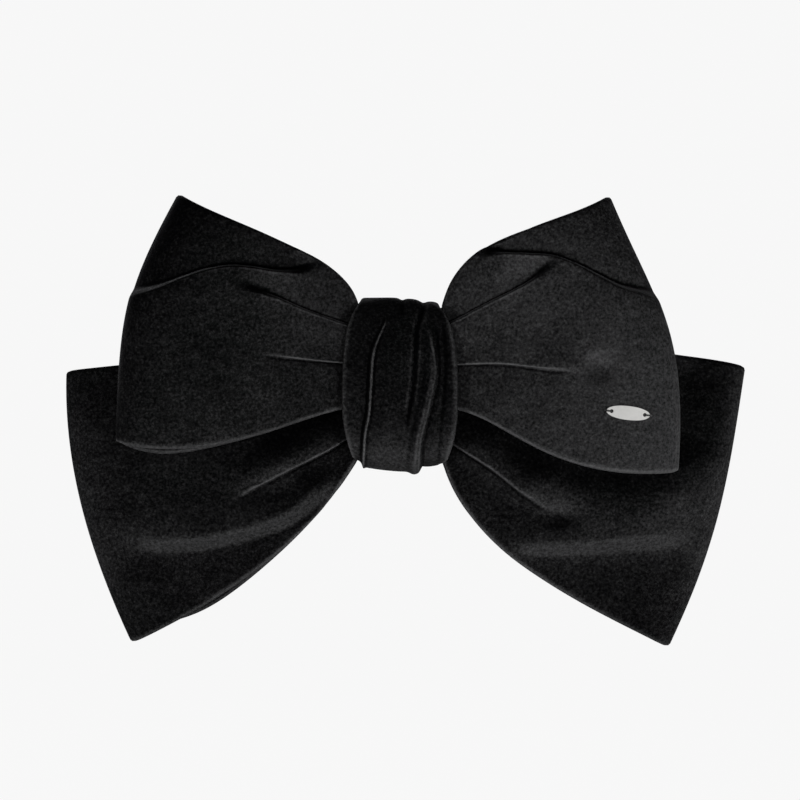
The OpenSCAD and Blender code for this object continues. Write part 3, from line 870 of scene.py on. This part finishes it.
for name, rows in (("upper_bow", upper_rows), ("lower_bow", lower_rows)):
    rows = settle(name + "_cloth", rows)
    ribbon = band(name + "_velvet", rows, RIBBON_T)
    paint(ribbon, velvet[name])
    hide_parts(name)
    core = band(name + "_core", narrowed(rows, CORE_INSET), INTERLINING_T)
    paint(core, interlining)
    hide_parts(name + "_interlining")

knot = knot_folds(*knot_rows())
knot_obj = band("knot_band_velvet", knot, KNOT_T)
paint(knot_obj, velvet["knot_band"])
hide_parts("knot_band")

pad = slab("backing_pad_felt", pad_rows(), PAD_T)
paint(pad, felt)
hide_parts("backing_pad")

for node, material, slot in (
    ("binding_thread", thread, "thread"),
    ("knot_seam_stitches", thread, "thread"),
    ("oval_plate", plate_metal, "plate_metal"),
    ("oval_plate_threads", thread, "thread"),
    ("barrette_plate", nickel, "barrette_steel"),
    ("barrette_threads", thread, "thread"),
    ("hinge_pin", nickel, "barrette_steel"),
    ("catch_bracket", nickel, "barrette_steel"),
    ("catch_rivet", nickel, "barrette_steel"),
    ("clasp_arm", nickel, "barrette_steel"),
    ("tine_upper", spring, "spring_steel"),
    ("tine_lower", spring, "spring_steel"),
    ("tension_strip", spring, "spring_steel"),
):
    paint(frame["nodes"][node], material)


# ---------------------------------------------------------------- floor, light and camera


SWEEP_GLOW = 0.931  # the pale grey behind the bow
WORLD_GLOW = 0.04
CAMERA_AT = (0, -0.897, -0.0047)


def glowing(name, glow):
    """Shows one even grey, whatever light falls on it."""
    return Shader(
        name, (0.001, 0.001, 0.001), Roughness=0.9, Specular_IOR_Level=0.0,
        Emission_Color=(1, 1, 1, 1), Emission_Strength=glow,
    ).material


def sweep():
    """A pale round studio: a floor that curves up into a wall, well away from the bow on every side."""
    floor_z, floor_r, bend, wall_z, sides = -0.26, 2.2, 0.5, 3.0, 64
    profile = [(0.001, floor_z), (floor_r, floor_z)]
    profile += [
        (floor_r + bend * math.sin(a), floor_z + bend * (1 - math.cos(a)))
        for a in np.linspace(0.15, math.pi / 2, 10)
    ]
    profile += [(floor_r + bend, wall_z)]
    turns = [2 * math.pi * k / sides for k in range(sides)]
    points = [(r * math.cos(a), r * math.sin(a), z) for r, z in profile for a in turns]
    faces = [
        (i * sides + k, i * sides + (k + 1) % sides, (i + 1) * sides + (k + 1) % sides, (i + 1) * sides + k)
        for i in range(len(profile) - 1)
        for k in range(sides)
    ]
    mesh = bpy.data.meshes.new("studio_sweep")
    mesh.from_pydata(points, [], faces)
    for p in mesh.polygons:
        p.use_smooth = True
    obj = bpy.data.objects.new("studio_sweep", mesh)
    bpy.context.scene.collection.objects.link(obj)
    obj.data.materials.append(glowing("pale_sweep", SWEEP_GLOW))
    obj.visible_diffuse = False
    obj.visible_shadow = False


def area_light(name, place, side, power, mirrored=False):
    """A square light that faces the bow. Mirrored says whether metal reflects it."""
    data = bpy.data.lights.new(name, "AREA")
    data.shape = "RECTANGLE"
    data.size = data.size_y = side
    data.energy = power
    obj = bpy.data.objects.new(name, data)
    obj.location = place
    obj.rotation_euler = (-Vector(place)).to_track_quat("-Z", "Y").to_euler()
    obj.visible_camera = False
    obj.visible_glossy = mirrored
    bpy.context.scene.collection.objects.link(obj)


def camera():
    """Square on to the bow, as it is worn, from just under a metre away."""
    data = bpy.data.cameras.new("camera")
    data.lens, data.sensor_width = 135, 36
    obj = bpy.data.objects.new("camera", data)
    obj.location = CAMERA_AT
    obj.rotation_euler = (math.pi / 2, 0, 0)
    bpy.context.scene.collection.objects.link(obj)
    bpy.context.scene.camera = obj


sweep()
camera()
area_light("key_left", (-1.1, -0.75, -0.25), 0.35, 16)
area_light("front_right", (0.6, -0.75, -0.3), 0.4, 9)
area_light("front_fill", (0.1, -1.4, 0.3), 1.2, 8)
area_light("back_fill", (-0.6, 1.2, 0.7), 0.9, 60)
area_light("side_left", (-1.6, 0.55, 0.3), 0.7, 30)
area_light("side_right", (1.6, 0.55, 0.3), 0.7, 30)
area_light("back_glint", (0.5, 0.9, 0.5), 0.3, 3, mirrored=True)

world = bpy.data.worlds.new("studio")
bpy.context.scene.world = world
world.use_nodes = True
world.node_tree.nodes["Background"].inputs["Color"].default_value = (0.92, 0.92, 0.93, 1)
world.node_tree.nodes["Background"].inputs["Strength"].default_value = WORLD_GLOW
bpy.context.scene.view_settings.view_transform = "Standard"
